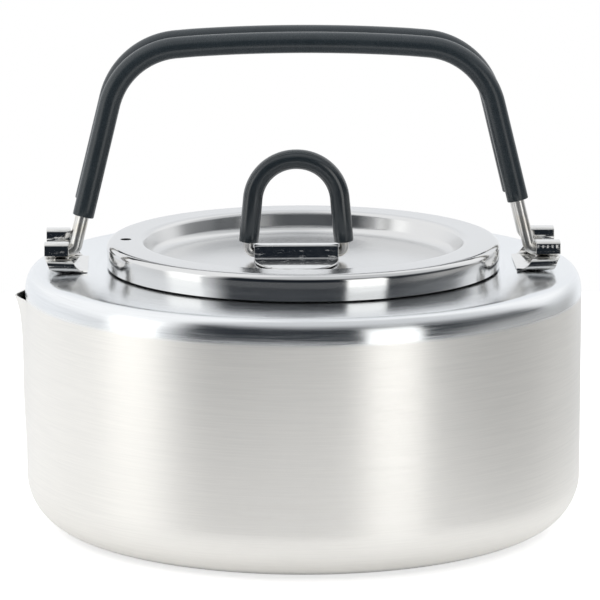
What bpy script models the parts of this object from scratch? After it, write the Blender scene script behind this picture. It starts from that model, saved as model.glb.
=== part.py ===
# Small camping kettle: a squat drawn pot with a pressed pouring lip, a lift-off lid with a
# folding ring, and two folding wire bails in rolled sheet brackets.
# Frame: metres, origin at the centre of the base, +Z up, the pouring lip points to -X.
import math

import bpy
import bmesh
from mathutils import Vector

MM = 0.001

# clearances
REST_GAP = 0.3
PIN_CLEAR = 0.3

# pot shell
POT_R = 75.0
POT_WALL = 0.5
BASE_FILLET = 13.4
WALL_TOP_Z = 62.0
CORNER_DEEP = 4.5
CORNER_TALL = 7.8
CORNER_SQUARE = 2.6
SHOULDER_DIP = math.radians(1.0)
NECK_R = 50.9
NECK_TOP_Z = 76.1
NECK_FILLET = 0.8
POT_SEGMENTS = 64
CORNER_STEPS = 6

# pouring lip
LIP_Z = 61.9
LIP_HALF_WIDTH = 9.6
LIP_OUT = 2.9
LIP_NOSE = 0.16
LIP_KEEL_OUT = 0.75
LIP_FADE = 5.0
LIP_KEEL_FOOT_Z = 16.0
LIP_KEEL_RISE = 22.0
MOUTH_RISE = 1.7
LIP_COLUMNS = 12

# lid
LID_SHEET = 0.5
LID_SKIRT_ROOM = 1.9
LID_SKIRT_SHORT = 0.25
LID_RIM_FLARE = 0.2
LID_RIM_ROUND = 2.0
LID_DISH_EDGE_IN = 6.7
LID_DISH_FOOT_IN = 4.4
LID_DISH_EDGE_ROUND = 1.4
LID_DISH_FOOT_ROUND = 2.6
LID_DISH_DEPTH = 5.8
LID_DISH_STEEP = 78.0
VENT_R = 1.5
VENT_IN = 3.1
LID_SEGMENTS = 56

# lid ring and its clip
RING_X = -1.9
RING_WIRE_R = 1.25
RING_SLEEVE_R = 2.65
RING_SEAT = 0.45
RING_FOOT_HALF = 13.1
RING_TOP_HALF = 10.7
RING_HEIGHT = 25.45
RING_CORNER = 11.6
RING_BEND = 1.7
RING_TAIL = 6.0
RING_SLEEVE_START = 2.8
CLIP_SHEET = 0.45
CLIP_HALF = 11.35
CLIP_FRONT = 18.2
CLIP_BACK = 6.0
CLIP_HEADROOM = 0.65
CLIP_LEAN = math.radians(8.5)
CLIP_TOP_BEND = 0.75
CLIP_FOOT_BEND = 1.1

# bails
FRONT_BAIL_X = -0.5
REAR_BAIL_X = -0.55
BAIL_Y = 10.6
BAIL_AXIS_Z = 75.7
BAIL_LEAN = math.radians(3.97)
BAIL_WIRE_R = 1.6
BAIL_SLEEVE_R = 2.85
BAIL_FOOT_IN = 1.6
BAIL_CORNER_IN = 12.9
BAIL_CORNER_UP = 53.0
BAIL_TOP_UP = 55.55
BAIL_CORNER_ROUND = 20.0
BAIL_BEND = 2.2
BAIL_TAIL_SHORT = 2.5
FRONT_SLEEVE_LEFT = 10.1
FRONT_SLEEVE_RIGHT = 14.0
REAR_SLEEVE_LEFT = 11.2
REAR_SLEEVE_RIGHT = 13.6

# brackets
BRACKET_SHEET = 0.5
BRACKET_X = -0.5
PLATE_LID_ROOM = 4.4
PLATE_EDGE_ROOM = 4.1
ROLL_SHARE = 0.5556
ROLL_OVER = 2.5
HAIRPIN_OUT = 0.3
ROLL_LEAN = math.radians(12)
ROLL_FOOT_BEND = 2.1
ROLL_TOP_BEND = 0.9
ROLL_END_BELOW = 0.9

SHOULDER_R = POT_R - CORNER_DEEP
SHOULDER_Z = WALL_TOP_Z + CORNER_TALL
LID_SKIRT_R = NECK_R + LID_SKIRT_ROOM
LID_RIM_R = LID_SKIRT_R + LID_RIM_FLARE
LID_DISH_EDGE_R = NECK_R - LID_DISH_EDGE_IN
LID_DISH_FOOT_R = LID_DISH_EDGE_R - LID_DISH_FOOT_IN
VENT_X = VENT_IN - NECK_R
NECK_FOOT_Z = SHOULDER_Z - (SHOULDER_R - NECK_R - NECK_FILLET) * math.tan(SHOULDER_DIP)
LID_TOP_Z = NECK_TOP_Z + REST_GAP + LID_SHEET
LID_FLOOR_Z = LID_TOP_Z - LID_DISH_DEPTH
LID_SKIRT_Z = NECK_FOOT_Z + REST_GAP + LID_SKIRT_SHORT
CLIP_Z = LID_FLOOR_Z + REST_GAP
RING_AXIS_Z = CLIP_Z + RING_SEAT + RING_WIRE_R
BRACKET_PLATE_IN = LID_RIM_R + PLATE_LID_ROOM
BRACKET_PLATE_OUT = SHOULDER_R - PLATE_EDGE_ROOM
ROLL_IN = BRACKET_PLATE_IN + ROLL_SHARE * (BRACKET_PLATE_OUT - BRACKET_PLATE_IN)
ROLL_OUT = BRACKET_PLATE_OUT + ROLL_OVER
BAIL_FOOT_HALF = ROLL_IN - BAIL_FOOT_IN
BAIL_CORNER_HALF = BAIL_FOOT_HALF - BAIL_CORNER_IN
BAIL_TAIL = ROLL_OUT - BAIL_TAIL_SHORT - BAIL_FOOT_HALF

for old in list(bpy.data.objects):
    bpy.data.objects.remove(old, do_unlink=True)


def material(name, colour, metallic, roughness):
    mat = bpy.data.materials.new(name)
    mat.use_nodes = True
    shader = mat.node_tree.nodes["Principled BSDF"]
    shader.inputs["Base Color"].default_value = (*colour, 1.0)
    shader.inputs["Metallic"].default_value = metallic
    shader.inputs["Roughness"].default_value = roughness
    mat.diffuse_color = (*colour, 1.0)
    return mat


def make_object(name, bm, origin_mm, colour, metallic, roughness, sharp=math.radians(40)):
    origin = Vector(origin_mm)
    bmesh.ops.recalc_face_normals(bm, faces=bm.faces)
    for vert in bm.verts:
        vert.co = (vert.co - origin) * MM
    mesh = bpy.data.meshes.new(name)
    bm.to_mesh(mesh)
    bm.free()
    mesh.shade_smooth()
    mesh.set_sharp_from_angle(angle=sharp)
    obj = bpy.data.objects.new(name, mesh)
    obj.location = origin * MM
    bpy.context.scene.collection.objects.link(obj)
    mesh.materials.append(material(name + "_mat", colour, metallic, roughness))
    return obj


def smooth(value):
    value = min(max(value, 0.0), 1.0)
    return value * value * (3.0 - 2.0 * value)


def arc(centre, radius, start, stop, steps):
    points = []
    for i in range(steps + 1):
        angle = math.radians(start + (stop - start) * i / steps)
        points.append((centre[0] + radius * math.cos(angle), centre[1] + radius * math.sin(angle)))
    return points


def revolve(bm, loop, segments, pole_first=False, pole_last=False):
    # loop runs from the outer start to the inner end, both ends may sit on the axis
    rings = []
    for index, (radius, height) in enumerate(loop):
        on_axis = (index == 0 and pole_first) or (index == len(loop) - 1 and pole_last)
        if on_axis:
            rings.append([bm.verts.new((0.0, 0.0, height))])
            continue
        ring = []
        for k in range(segments):
            angle = 2.0 * math.pi * k / segments
            ring.append(bm.verts.new((radius * math.cos(angle), radius * math.sin(angle), height)))
        rings.append(ring)
    for ring, after in zip(rings, rings[1:]):
        join_rings(bm, ring, after)
    return rings


def join_rings(bm, ring, after):
    count = max(len(ring), len(after))
    for k in range(count):
        n = (k + 1) % count
        if len(ring) == 1:
            bm.faces.new((ring[0], after[n], after[k]))
        elif len(after) == 1:
            bm.faces.new((ring[k], ring[n], after[0]))
        else:
            bm.faces.new((ring[k], ring[n], after[n], after[k]))


# pot shell: outer and inner skins, joined at the neck rim, with the mouth slit cut in both

def pot_profile(inset):
    lower = BASE_FILLET - inset
    below = [(0.0, inset), (POT_R * 0.45, inset)]
    below += arc((POT_R - BASE_FILLET, BASE_FILLET), lower, -90, 0, 5)
    # the shoulder corner is a little squarer than a quarter circle
    above = []
    for k in range(1, CORNER_STEPS + 1):
        angle = math.pi / 2.0 * (k / CORNER_STEPS) ** 1.3
        out = (CORNER_DEEP - inset) * max(math.cos(angle), 0.0) ** (2.0 / CORNER_SQUARE)
        up = (CORNER_TALL - inset) * math.sin(angle) ** (2.0 / CORNER_SQUARE)
        above.append((SHOULDER_R + out, WALL_TOP_Z + up))
    dip = math.degrees(SHOULDER_DIP)
    neck_centre = (NECK_R + NECK_FILLET, NECK_FOOT_Z + NECK_FILLET)
    turn = arc(neck_centre, NECK_FILLET + inset, -90 + dip, -180, 3)
    above += turn
    above.append((NECK_R - inset, NECK_TOP_Z))
    return below, above


def lip_push(across, height):
    # how far the pressed lip stands out of the plain wall: a V with a rounded nose
    if height > LIP_Z + 0.001:
        return 0.0
    drop = LIP_Z - height
    peak = (LIP_OUT - LIP_KEEL_OUT) * math.exp(-drop / LIP_FADE)
    keel = LIP_KEEL_OUT * smooth((height - LIP_KEEL_FOOT_Z) / LIP_KEEL_RISE)
    reach = LIP_HALF_WIDTH * (1.0 + 0.25 * smooth(drop / 30.0))
    spread = min(math.hypot(across / reach, LIP_NOSE), 1.0)
    return (peak + keel) * min((1.0 - spread) / (1.0 - LIP_NOSE), 1.0) ** 1.1


def build_pot():
    bm = bmesh.new()
    sector = 2.0 * math.pi * 6 / POT_SEGMENTS
    angles = []
    for k in range(POT_SEGMENTS - 6 + 1):
        angles.append(-math.pi + sector / 2.0 + (2.0 * math.pi - sector) * k / (POT_SEGMENTS - 6))
    first_lip = len(angles)
    for k in range(1, LIP_COLUMNS):
        angles.append(math.pi - sector / 2.0 + sector * k / LIP_COLUMNS)
    count = len(angles)
    lip_columns = [first_lip - 1 + k for k in range(LIP_COLUMNS + 1)]
    lip_columns[-1] = 0
    step_count = 8
    heights = []
    for k in range(1, step_count):
        part = k / step_count
        heights.append(LIP_KEEL_FOOT_Z + (LIP_Z - LIP_KEEL_FOOT_Z) * (1.0 - (1.0 - part) ** 2.0))

    def place(radius, angle, height):
        return bm.verts.new((radius * math.cos(angle), radius * math.sin(angle), height))

    skins = []
    for inset in (0.0, POT_WALL):
        below, above = pot_profile(inset)
        radius = POT_R - inset
        pole = bm.verts.new((0.0, 0.0, inset))
        low = [[place(r, a, z) for a in angles] for r, z in below[1:]]
        high = [[place(r, a, z) for a in angles] for r, z in above]
        for k in range(count):
            bm.faces.new((pole, low[0][(k + 1) % count], low[0][k]))
        for block in (low, high):
            for ring, after in zip(block, block[1:]):
                join_rings(bm, ring, after)
        # wall: plain panels, then the lip panels with their own rows
        columns = []
        lip_row = []
        mouth_row = []
        for place_in, column in enumerate(lip_columns):
            angle = angles[column]
            off = (angle - math.pi + math.pi) % (2.0 * math.pi) - math.pi
            across = POT_R * off
            edge = place_in in (0, LIP_COLUMNS)
            rows = []
            for height in heights:
                push = 0.0 if edge else lip_push(across, height)
                rows.append(place(radius + push, angle, height))
            push = 0.0 if edge else lip_push(across, LIP_Z)
            lip_vert = place(radius + push, angle, LIP_Z)
            opened = abs(across) < LIP_HALF_WIDTH * 0.999
            if opened:
                share = math.cos(across / LIP_HALF_WIDTH * math.pi / 2.0)
                mouth_vert = place(radius, angle, LIP_Z + MOUTH_RISE * share)
            else:
                mouth_vert = lip_vert
            columns.append(rows + [lip_vert])
            lip_row.append(lip_vert)
            mouth_row.append(mouth_vert)
        foot = low[-1]
        head = high[0]
        for k in range(count):
            n = (k + 1) % count
            if k in lip_columns and n in lip_columns:
                continue
            face = [foot[k], foot[n]]
            if n == lip_columns[0]:
                face += columns[0]
            face.append(head[n])
            face.append(head[k])
            if k == lip_columns[-1]:
                face += reversed(columns[-1])
            bm.faces.new(face)
        for j in range(LIP_COLUMNS):
            a, b = lip_columns[j], lip_columns[j + 1]
            left = [foot[a]] + columns[j]
            right = [foot[b]] + columns[j + 1]
            for i in range(len(left) - 1):
                bm.faces.new((left[i], right[i], right[i + 1], left[i + 1]))
            bm.faces.new((mouth_row[j], mouth_row[j + 1], head[b], head[a]))
        skins.append((high[-1], lip_row, mouth_row))
    join_rings(bm, skins[0][0], skins[1][0])
    for row in (1, 2):
        outer, inner = skins[0][row], skins[1][row]
        other = 3 - row
        for j in range(LIP_COLUMNS):
            if outer[j] is skins[0][other][j] and outer[j + 1] is skins[0][other][j + 1]:
                continue
            bm.faces.new((outer[j], outer[j + 1], inner[j + 1], inner[j]))
    return make_object("kettle_body", bm, (0, 0, 0), (0.78, 0.77, 0.75), 1.0, 0.3)


# lid: one pressed sheet with a skirt, a flat rim band and a dished centre

def lid_profile():
    skirt_run = LID_RIM_R - LID_SKIRT_R
    skirt_rise = LID_TOP_Z - LID_SKIRT_Z
    tilt = math.degrees(math.atan2(skirt_run, skirt_rise))
    outer = [(LID_SKIRT_R, LID_SKIRT_Z)]
    rim_centre = (LID_RIM_R - LID_RIM_ROUND, LID_TOP_Z - LID_RIM_ROUND)
    outer += arc(rim_centre, LID_RIM_ROUND, -tilt, 90, 3)
    edge_centre = (LID_DISH_EDGE_R, LID_TOP_Z - LID_DISH_EDGE_ROUND)
    foot_centre = (LID_DISH_FOOT_R, LID_FLOOR_Z + LID_DISH_FOOT_ROUND)
    steep = LID_DISH_STEEP
    edge = arc(edge_centre, LID_DISH_EDGE_ROUND, 90, 90 + steep, 3)
    foot = arc(foot_centre, LID_DISH_FOOT_ROUND, steep - 90, -90, 4)
    foot_under = arc(foot_centre, LID_DISH_FOOT_ROUND + LID_SHEET, steep - 90, -90, 4)
    edge_under = arc(edge_centre, LID_DISH_EDGE_ROUND - LID_SHEET, 90, 90 + steep, 3)
    under = [(0.0, LID_FLOOR_Z - LID_SHEET)]
    under += reversed(foot_under)
    under += reversed(edge_under)
    under += reversed(arc(rim_centre, LID_RIM_ROUND - LID_SHEET, -tilt, 90, 3))
    under.append((LID_SKIRT_R - LID_SHEET, LID_SKIRT_Z))
    top = outer + edge + foot + [(0.0, LID_FLOOR_Z)]
    return top, under


def build_lid():
    bm = bmesh.new()
    top, under = lid_profile()
    rings = revolve(bm, top, LID_SEGMENTS, pole_last=True)
    lower = revolve(bm, under, LID_SEGMENTS, pole_first=True)
    join_rings(bm, lower[-1], rings[0])
    # vent hole through the flat rim band, cut in one panel above and below
    bm.verts.ensure_lookup_table()
    around = 12
    panel = LID_SEGMENTS // 2
    lower_edge = len(under) - 2 - 3
    holes = []
    for ring_out, ring_in, height in ((rings[4], rings[5], LID_TOP_Z),
                                      (lower[lower_edge], lower[lower_edge - 1], LID_TOP_Z - LID_SHEET)):
        corners = [ring_out[panel - 1], ring_out[panel], ring_out[panel + 1],
                   ring_in[panel + 1], ring_in[panel], ring_in[panel - 1]]
        doomed = [f for f in bm.faces if all(v in corners for v in f.verts)]
        bmesh.ops.delete(bm, geom=doomed, context="FACES_ONLY")
        hole = []
        for k in range(around):
            angle = 2.0 * math.pi * k / around
            hole.append(bm.verts.new((VENT_X + VENT_R * math.cos(angle), VENT_R * math.sin(angle), height)))
        holes.append(hole)
        stitch(bm, corners, hole)
    join_rings(bm, holes[0], holes[1])
    # an old edge across the panel has no face left
    loose = [e for e in bm.edges if not e.link_faces]
    bmesh.ops.delete(bm, geom=loose, context="EDGES")
    return make_object("lid", bm, (0, 0, LID_FLOOR_Z), (0.8, 0.8, 0.79), 1.0, 0.25)


def stitch(bm, corners, hole):
    # fill between an outer loop and a round hole with triangles, matched by direction
    centre = Vector((0.0, 0.0, 0.0))
    for vert in hole:
        centre += vert.co
    centre /= len(hole)

    def heading(vert):
        return math.atan2(vert.co.y - centre.y, vert.co.x - centre.x)

    outer = sorted(corners, key=heading)
    inner = sorted(hole, key=heading)
    i = 0
    j = 0
    total = len(outer) + len(inner)
    for _ in range(total):
        next_outer = heading(outer[(i + 1) % len(outer)]) + (2 * math.pi if i + 1 >= len(outer) else 0)
        next_inner = heading(inner[(j + 1) % len(inner)]) + (2 * math.pi if j + 1 >= len(inner) else 0)
        if j >= len(inner) or (i < len(outer) and next_outer <= next_inner):
            bm.faces.new((outer[i % len(outer)], outer[(i + 1) % len(outer)], inner[j % len(inner)]))
            i += 1
        else:
            bm.faces.new((outer[i % len(outer)], inner[(j + 1) % len(inner)], inner[j % len(inner)]))
            j += 1


# wires and sleeves: a round section swept along a flat path

def fillet_path(points, radii, steps):
    # straight runs joined by arcs; points are (across, up) pairs
    path = [points[0]]
    for before, corner, after, radius in zip(points, points[1:], points[2:], radii):
        a = (Vector(before) - Vector(corner)).normalized()
        b = (Vector(after) - Vector(corner)).normalized()
        half = math.acos(max(-1.0, min(1.0, a.dot(b)))) / 2.0
        if radius <= 0.0:
            path.append(corner)
            continue
        reach = radius / math.tan(half)
        middle = Vector(corner) + (a + b).normalized() * (radius / math.sin(half))
        start = Vector(corner) + a * reach - middle
        stop = Vector(corner) + b * reach - middle
        swing = math.atan2(start.x * stop.y - start.y * stop.x, start.dot(stop))
        count = max(2, int(math.ceil(abs(math.degrees(swing)) / steps)))
        for k in range(count + 1):
            angle = swing * k / count
            c, s = math.cos(angle), math.sin(angle)
            path.append((middle.x + start.x * c - start.y * s, middle.y + start.x * s + start.y * c))
    path.append(points[-1])
    return path


def trim_path(path, cut_start, cut_end):
    # shorten a path by a length at each end
    def cut(points, length):
        points = list(points)
        while len(points) > 2:
            run = (Vector(points[1]) - Vector(points[0])).length
            if run > length:
                break
            length -= run
            points.pop(0)
        a, b = Vector(points[0]), Vector(points[1])
        points[0] = tuple(a + (b - a).normalized() * length)
        if (Vector(points[0]) - b).length < 0.4 and len(points) > 2:
            points.pop(1)
        return points
    return cut(cut(path, cut_start)[::-1], cut_end)[::-1]


def section_rings(bm, path, radius, sides, to_space):
    rings = []
    for i, point in enumerate(path):
        before = Vector(path[max(i - 1, 0)])
        after = Vector(path[min(i + 1, len(path) - 1)])
        one = (Vector(point) - before)
        two = (after - Vector(point))
        if one.length < 1e-9:
            one = two
        if two.length < 1e-9:
            two = one
        along = (one.normalized() + two.normalized()).normalized()
        widen = 1.0 / max(along.dot(one.normalized()), 0.5)
        side = Vector((along.y, -along.x))
        ring = []
        for k in range(sides):
            angle = 2.0 * math.pi * k / sides
            flat = Vector(point) + side * (radius * widen * math.cos(angle))
            ring.append(bm.verts.new(to_space(flat.x, flat.y, radius * math.sin(angle))))
        rings.append(ring)
    return rings


def cap(bm, ring):
    bm.faces.new(ring)


def sweep_wire(bm, path, radius, sides, to_space):
    rings = section_rings(bm, path, radius, sides, to_space)
    for ring, after in zip(rings, rings[1:]):
        join_rings(bm, ring, after)
    cap(bm, rings[0])
    cap(bm, rings[-1])


def sweep_sleeve(bm, path, outer, inner, sides, to_space):
    skin = section_rings(bm, path, outer, sides, to_space)
    bore = section_rings(bm, path, inner, sides, to_space)
    for rings in (skin, bore):
        for ring, after in zip(rings, rings[1:]):
            join_rings(bm, ring, after)
    join_rings(bm, skin[0], bore[0])
    join_rings(bm, skin[-1], bore[-1])


def bail_path():
    # from the left tail, over the top, to the right tail; the top bows up a little
    bow = BAIL_TOP_UP - BAIL_CORNER_UP
    tail = BAIL_FOOT_HALF + BAIL_TAIL
    left = [(-tail, 0.0), (-BAIL_FOOT_HALF, 0.0), (-BAIL_CORNER_HALF, BAIL_CORNER_UP)]
    crown = []
    for k in range(-2, 3):
        across = BAIL_CORNER_HALF * 0.3 * k
        crown.append((across, BAIL_CORNER_UP + bow * (1.0 - (across / BAIL_CORNER_HALF) ** 2)))
    right = [(-x, z) for x, z in reversed(left)]
    points = left + crown + right
    radii = [BAIL_BEND, BAIL_CORNER_ROUND] + [0.0] * len(crown) + [BAIL_CORNER_ROUND, BAIL_BEND]
    return fillet_path(points, radii, 9.0)


def bend_length(foot_half, corner_half, corner_up, bend, tail):
    # path length from the tail's end to where the leg starts to be straight
    lean = math.atan2(foot_half - corner_half, corner_up)
    turn = math.pi / 2.0 - lean
    return tail - bend * math.tan(turn / 2.0) + bend * turn


def build_bail(name, sign, shift, sleeve_left, sleeve_right):
    axis_y = sign * BAIL_Y
    lean_sin = -sign * math.sin(BAIL_LEAN)
    lean_cos = math.cos(BAIL_LEAN)

    def to_space(across, up, out):
        return (shift + across,
                axis_y + up * lean_sin + out * lean_cos,
                BAIL_AXIS_Z + up * lean_cos - out * lean_sin)

    path = bail_path()
    wire = bmesh.new()
    sweep_wire(wire, path, BAIL_WIRE_R, 10, to_space)
    make_object(name + "_wire", wire, (shift, axis_y, BAIL_AXIS_Z), (0.75, 0.74, 0.72), 1.0, 0.25)
    start = bend_length(BAIL_FOOT_HALF, BAIL_CORNER_HALF, BAIL_CORNER_UP, BAIL_BEND, BAIL_TAIL)
    covered = trim_path(path, start + sleeve_left - BAIL_BEND, start + sleeve_right - BAIL_BEND)
    sleeve = bmesh.new()
    sweep_sleeve(sleeve, covered, BAIL_SLEEVE_R, BAIL_WIRE_R + PIN_CLEAR, 10, to_space)
    make_object(name + "_sleeve", sleeve, (shift, axis_y, BAIL_AXIS_Z), (0.03, 0.035, 0.04), 0.0, 0.45)


def ring_path():
    tail = RING_FOOT_HALF - RING_TAIL
    points = [(-tail, 0.0), (-RING_FOOT_HALF, 0.0), (-RING_TOP_HALF, RING_HEIGHT),
              (RING_TOP_HALF, RING_HEIGHT), (RING_FOOT_HALF, 0.0), (tail, 0.0)]
    return fillet_path(points, [RING_BEND, RING_CORNER, RING_CORNER, RING_BEND], 12.0)


def build_ring():
    def to_space(across, up, out):
        return (RING_X + across, out, RING_AXIS_Z + up)

    path = ring_path()
    wire = bmesh.new()
    sweep_wire(wire, path, RING_WIRE_R, 10, to_space)
    make_object("lid_ring_wire", wire, (RING_X, 0, RING_AXIS_Z), (0.76, 0.75, 0.73), 1.0, 0.22)
    lean = math.atan2(RING_FOOT_HALF - RING_TOP_HALF, RING_HEIGHT)
    turn = math.pi / 2.0 + lean
    cut = RING_TAIL - RING_BEND * math.tan(turn / 2.0) + RING_BEND * turn
    covered = trim_path(path, cut + RING_SLEEVE_START - RING_BEND, cut + RING_SLEEVE_START - RING_BEND)
    sleeve = bmesh.new()
    sweep_sleeve(sleeve, covered, RING_SLEEVE_R, RING_WIRE_R + PIN_CLEAR, 10, to_space)
    make_object("lid_ring_sleeve", sleeve, (RING_X, 0, RING_AXIS_Z), (0.03, 0.035, 0.04), 0.0, 0.45)


# sheet ribbons: a strip of sheet bent along a path in the Y-Z plane, with a width along X

def ribbon(bm, path, widths, thickness, slopes=None):
    rows = []
    for i, point in enumerate(path):
        here = Vector(point)
        before = Vector(path[max(i - 1, 0)])
        after = Vector(path[min(i + 1, len(path) - 1)])
        one = here - before
        two = after - here
        if one.length < 1e-9:
            one = two
        if two.length < 1e-9:
            two = one
        along = (one.normalized() + two.normalized()).normalized()
        widen = 1.0 / max(along.dot(one.normalized()), 0.6)
        side = Vector((-along.y, along.x)) * (thickness / 2.0 * widen)
        low, high = widths[i]
        upper = here + side
        lower = here - side
        # a slope raises or lowers the low-X edge of the strip
        drop = slopes[i] * (high - low) if slopes else 0.0
        lift_low = min(drop, 0.0)
        lift_high = min(-drop, 0.0)
        rows.append([bm.verts.new((low, upper.x, upper.y + lift_low)),
                     bm.verts.new((high, upper.x, upper.y + lift_high)),
                     bm.verts.new((high, lower.x, lower.y + lift_high)),
                     bm.verts.new((low, lower.x, lower.y + lift_low))])
    for row, after in zip(rows, rows[1:]):
        join_rings(bm, row, after)
    cap(bm, rows[0])
    cap(bm, rows[-1])


def bracket_half():
    # from the plate's middle, round the hairpin fold, up into the roll; (y, z) for the +Y half
    mid = SHOULDER_Z + REST_GAP + BRACKET_SHEET / 2.0
    hairpin_y = BAIL_Y + HAIRPIN_OUT
    roll_r = BAIL_WIRE_R + PIN_CLEAR + BRACKET_SHEET / 2.0
    roll_foot = BAIL_AXIS_Z - roll_r
    fold_r = (roll_foot - mid) / 2.0
    fold = arc((hairpin_y, mid + fold_r), fold_r, -90, 90, 6)
    # the roll is a little square, narrower at the top, and its sides just clear the wire
    lean_sin = math.sin(ROLL_LEAN)
    lean_cos = math.cos(ROLL_LEAN)
    foot_half = roll_r * (1.0 + lean_sin) / lean_cos
    top_half = roll_r * (1.0 - lean_sin) / lean_cos
    end_half = (roll_r + ROLL_END_BELOW * lean_sin) / lean_cos
    top_z = BAIL_AXIS_Z + roll_r
    corners = [(hairpin_y, roll_foot), (BAIL_Y - foot_half, roll_foot), (BAIL_Y - top_half, top_z),
               (BAIL_Y + top_half, top_z), (BAIL_Y + end_half, BAIL_AXIS_Z - ROLL_END_BELOW)]
    roll = fillet_path(corners, [ROLL_FOOT_BEND, ROLL_TOP_BEND, ROLL_TOP_BEND], 30.0)[1:]
    flat = [(BAIL_Y - 3.0, mid), (BAIL_Y, mid)]
    return flat, fold, roll


def build_bracket(name, sign):
    flat, fold, roll = bracket_half()
    half = flat + fold + roll
    shares = [0.0, 0.0]
    shares += [0.25 + 0.75 * k / (len(fold) - 1) for k in range(len(fold))]
    shares += [1.0] * len(roll)
    path = []
    widths = []
    slopes = []

    def width_at(share):
        low = BRACKET_PLATE_IN + (ROLL_IN - BRACKET_PLATE_IN) * share
        high = BRACKET_PLATE_OUT + (ROLL_OUT - BRACKET_PLATE_OUT) * share
        low += sign * BRACKET_X
        high += sign * BRACKET_X
        return (low, high) if sign > 0 else (-high, -low)

    for (y, z), share in reversed(list(zip(half, shares))):
        path.append((-y, z))
        widths.append(width_at(share))
        slopes.append(-sign * math.tan(SHOULDER_DIP) * (1.0 - share))
    for (y, z), share in zip(half, shares):
        path.append((y, z))
        widths.append(width_at(share))
        slopes.append(-sign * math.tan(SHOULDER_DIP) * (1.0 - share))
    bm = bmesh.new()
    ribbon(bm, path, widths, BRACKET_SHEET, slopes)
    middle = BRACKET_X + sign * (BRACKET_PLATE_IN + BRACKET_PLATE_OUT) / 2.0
    make_object(name, bm, (middle, 0, SHOULDER_Z + REST_GAP), (0.8, 0.8, 0.78), 1.0, 0.12)


def clip_path():
    # flat tongue, leaning front, narrow top over the ring wire, leaning back, flat tab
    mid = CLIP_Z + CLIP_SHEET / 2.0
    cover = RING_WIRE_R + PIN_CLEAR + CLIP_SHEET / 2.0
    top = RING_AXIS_Z + RING_WIRE_R + CLIP_HEADROOM + CLIP_SHEET / 2.0
    foot = (cover + (RING_AXIS_Z - mid) * math.sin(CLIP_LEAN)) / math.cos(CLIP_LEAN)
    crown = (cover - (top - RING_AXIS_Z) * math.sin(CLIP_LEAN)) / math.cos(CLIP_LEAN)
    corners = [(-CLIP_FRONT, mid), (-foot, mid), (-crown, top), (crown, top), (foot, mid), (CLIP_BACK, mid)]
    radii = [CLIP_FOOT_BEND, CLIP_TOP_BEND, CLIP_TOP_BEND, CLIP_FOOT_BEND]
    bent = fillet_path(corners, radii, 30.0)
    reach = -bent[1][0]
    tongue_steps = 9
    path = []
    for k in range(tongue_steps):
        part = k / tongue_steps
        path.append((-CLIP_FRONT + (CLIP_FRONT - reach) * math.sin(part * math.pi / 2.0), mid))
    path += bent[1:-1]
    for k in range(1, 4):
        path.append((reach + (CLIP_BACK - reach) * k / 3.0, mid))
    return path, reach


def build_clip():
    path, reach = clip_path()
    widths = []
    for y, z in path:
        if y < -reach:
            share = min((-y - reach) / (CLIP_FRONT - reach), 0.985)
            half = CLIP_HALF * (1.0 - share ** 2.6) ** 0.5
        elif y > reach:
            half = CLIP_HALF * (1.0 - 0.35 * ((y - reach) / (CLIP_BACK - reach)) ** 2)
        else:
            half = CLIP_HALF
        widths.append((RING_X - half, RING_X + half))
    bm = bmesh.new()
    ribbon(bm, path, widths, CLIP_SHEET)
    make_object("lid_clip", bm, (RING_X, 0, CLIP_Z), (0.7, 0.7, 0.7), 1.0, 0.12)


build_pot()
build_lid()
build_clip()
build_ring()
build_bracket("left_bracket", -1)
build_bracket("right_bracket", 1)
build_bail("front_bail", -1, FRONT_BAIL_X, FRONT_SLEEVE_LEFT, FRONT_SLEEVE_RIGHT)
build_bail("rear_bail", 1, REAR_BAIL_X, REAR_SLEEVE_LEFT, REAR_SLEEVE_RIGHT)
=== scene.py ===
# %% [markdown]
# A camping kettle, dressed in its real finishes
#
# The kettle is a squat pot of thin stainless sheet with a pressed pouring lip, a lift-off lid
# with a small folding ring, and two wire bails that fold down to either side. The sheet is
# brushed on the wall, and nearly a mirror on the shoulder and the lid.
#
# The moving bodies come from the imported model, and the main sizes below are the ones that it
# was made with. This script builds each pressed sheet and bent wire again with far more steps
# round its curves, because a mirror shows every flat, and then gives it a finish made from nodes.

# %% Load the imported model
import math

import bmesh
import bpy
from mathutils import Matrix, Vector


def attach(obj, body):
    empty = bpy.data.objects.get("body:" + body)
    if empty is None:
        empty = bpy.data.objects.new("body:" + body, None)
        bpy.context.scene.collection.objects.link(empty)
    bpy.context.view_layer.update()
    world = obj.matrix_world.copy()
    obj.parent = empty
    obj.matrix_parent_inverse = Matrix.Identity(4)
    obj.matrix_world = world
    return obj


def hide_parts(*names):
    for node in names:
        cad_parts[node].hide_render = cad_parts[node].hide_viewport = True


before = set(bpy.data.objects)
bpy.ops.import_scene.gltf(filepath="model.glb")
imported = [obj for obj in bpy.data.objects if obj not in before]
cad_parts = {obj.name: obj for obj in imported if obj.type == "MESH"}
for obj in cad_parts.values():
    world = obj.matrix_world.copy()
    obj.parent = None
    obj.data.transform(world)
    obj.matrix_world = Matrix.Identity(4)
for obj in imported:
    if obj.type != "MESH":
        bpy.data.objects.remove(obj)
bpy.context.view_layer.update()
print("nodes:", sorted(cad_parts))

# %% [markdown]
# The camera
#
# A catalogue picture of a kettle is taken from a little above its lid with a long lens, so that
# the round edges stay calm. The lens and the place were worked out from the ellipses of the
# base, the shoulder and the lid. The camera looks at a point close to the pot's axis, at
# nearly half of the kettle's height.

# %% Place the camera, with lengths in millimetres
MM = 0.001
CAMERA_TURN = math.radians(-1.5)
CAMERA_AWAY = 1200.0
CAMERA_UP = 298.5
AIM_X = -0.9
AIM_UP = 60.0
LENS = 271.7


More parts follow.
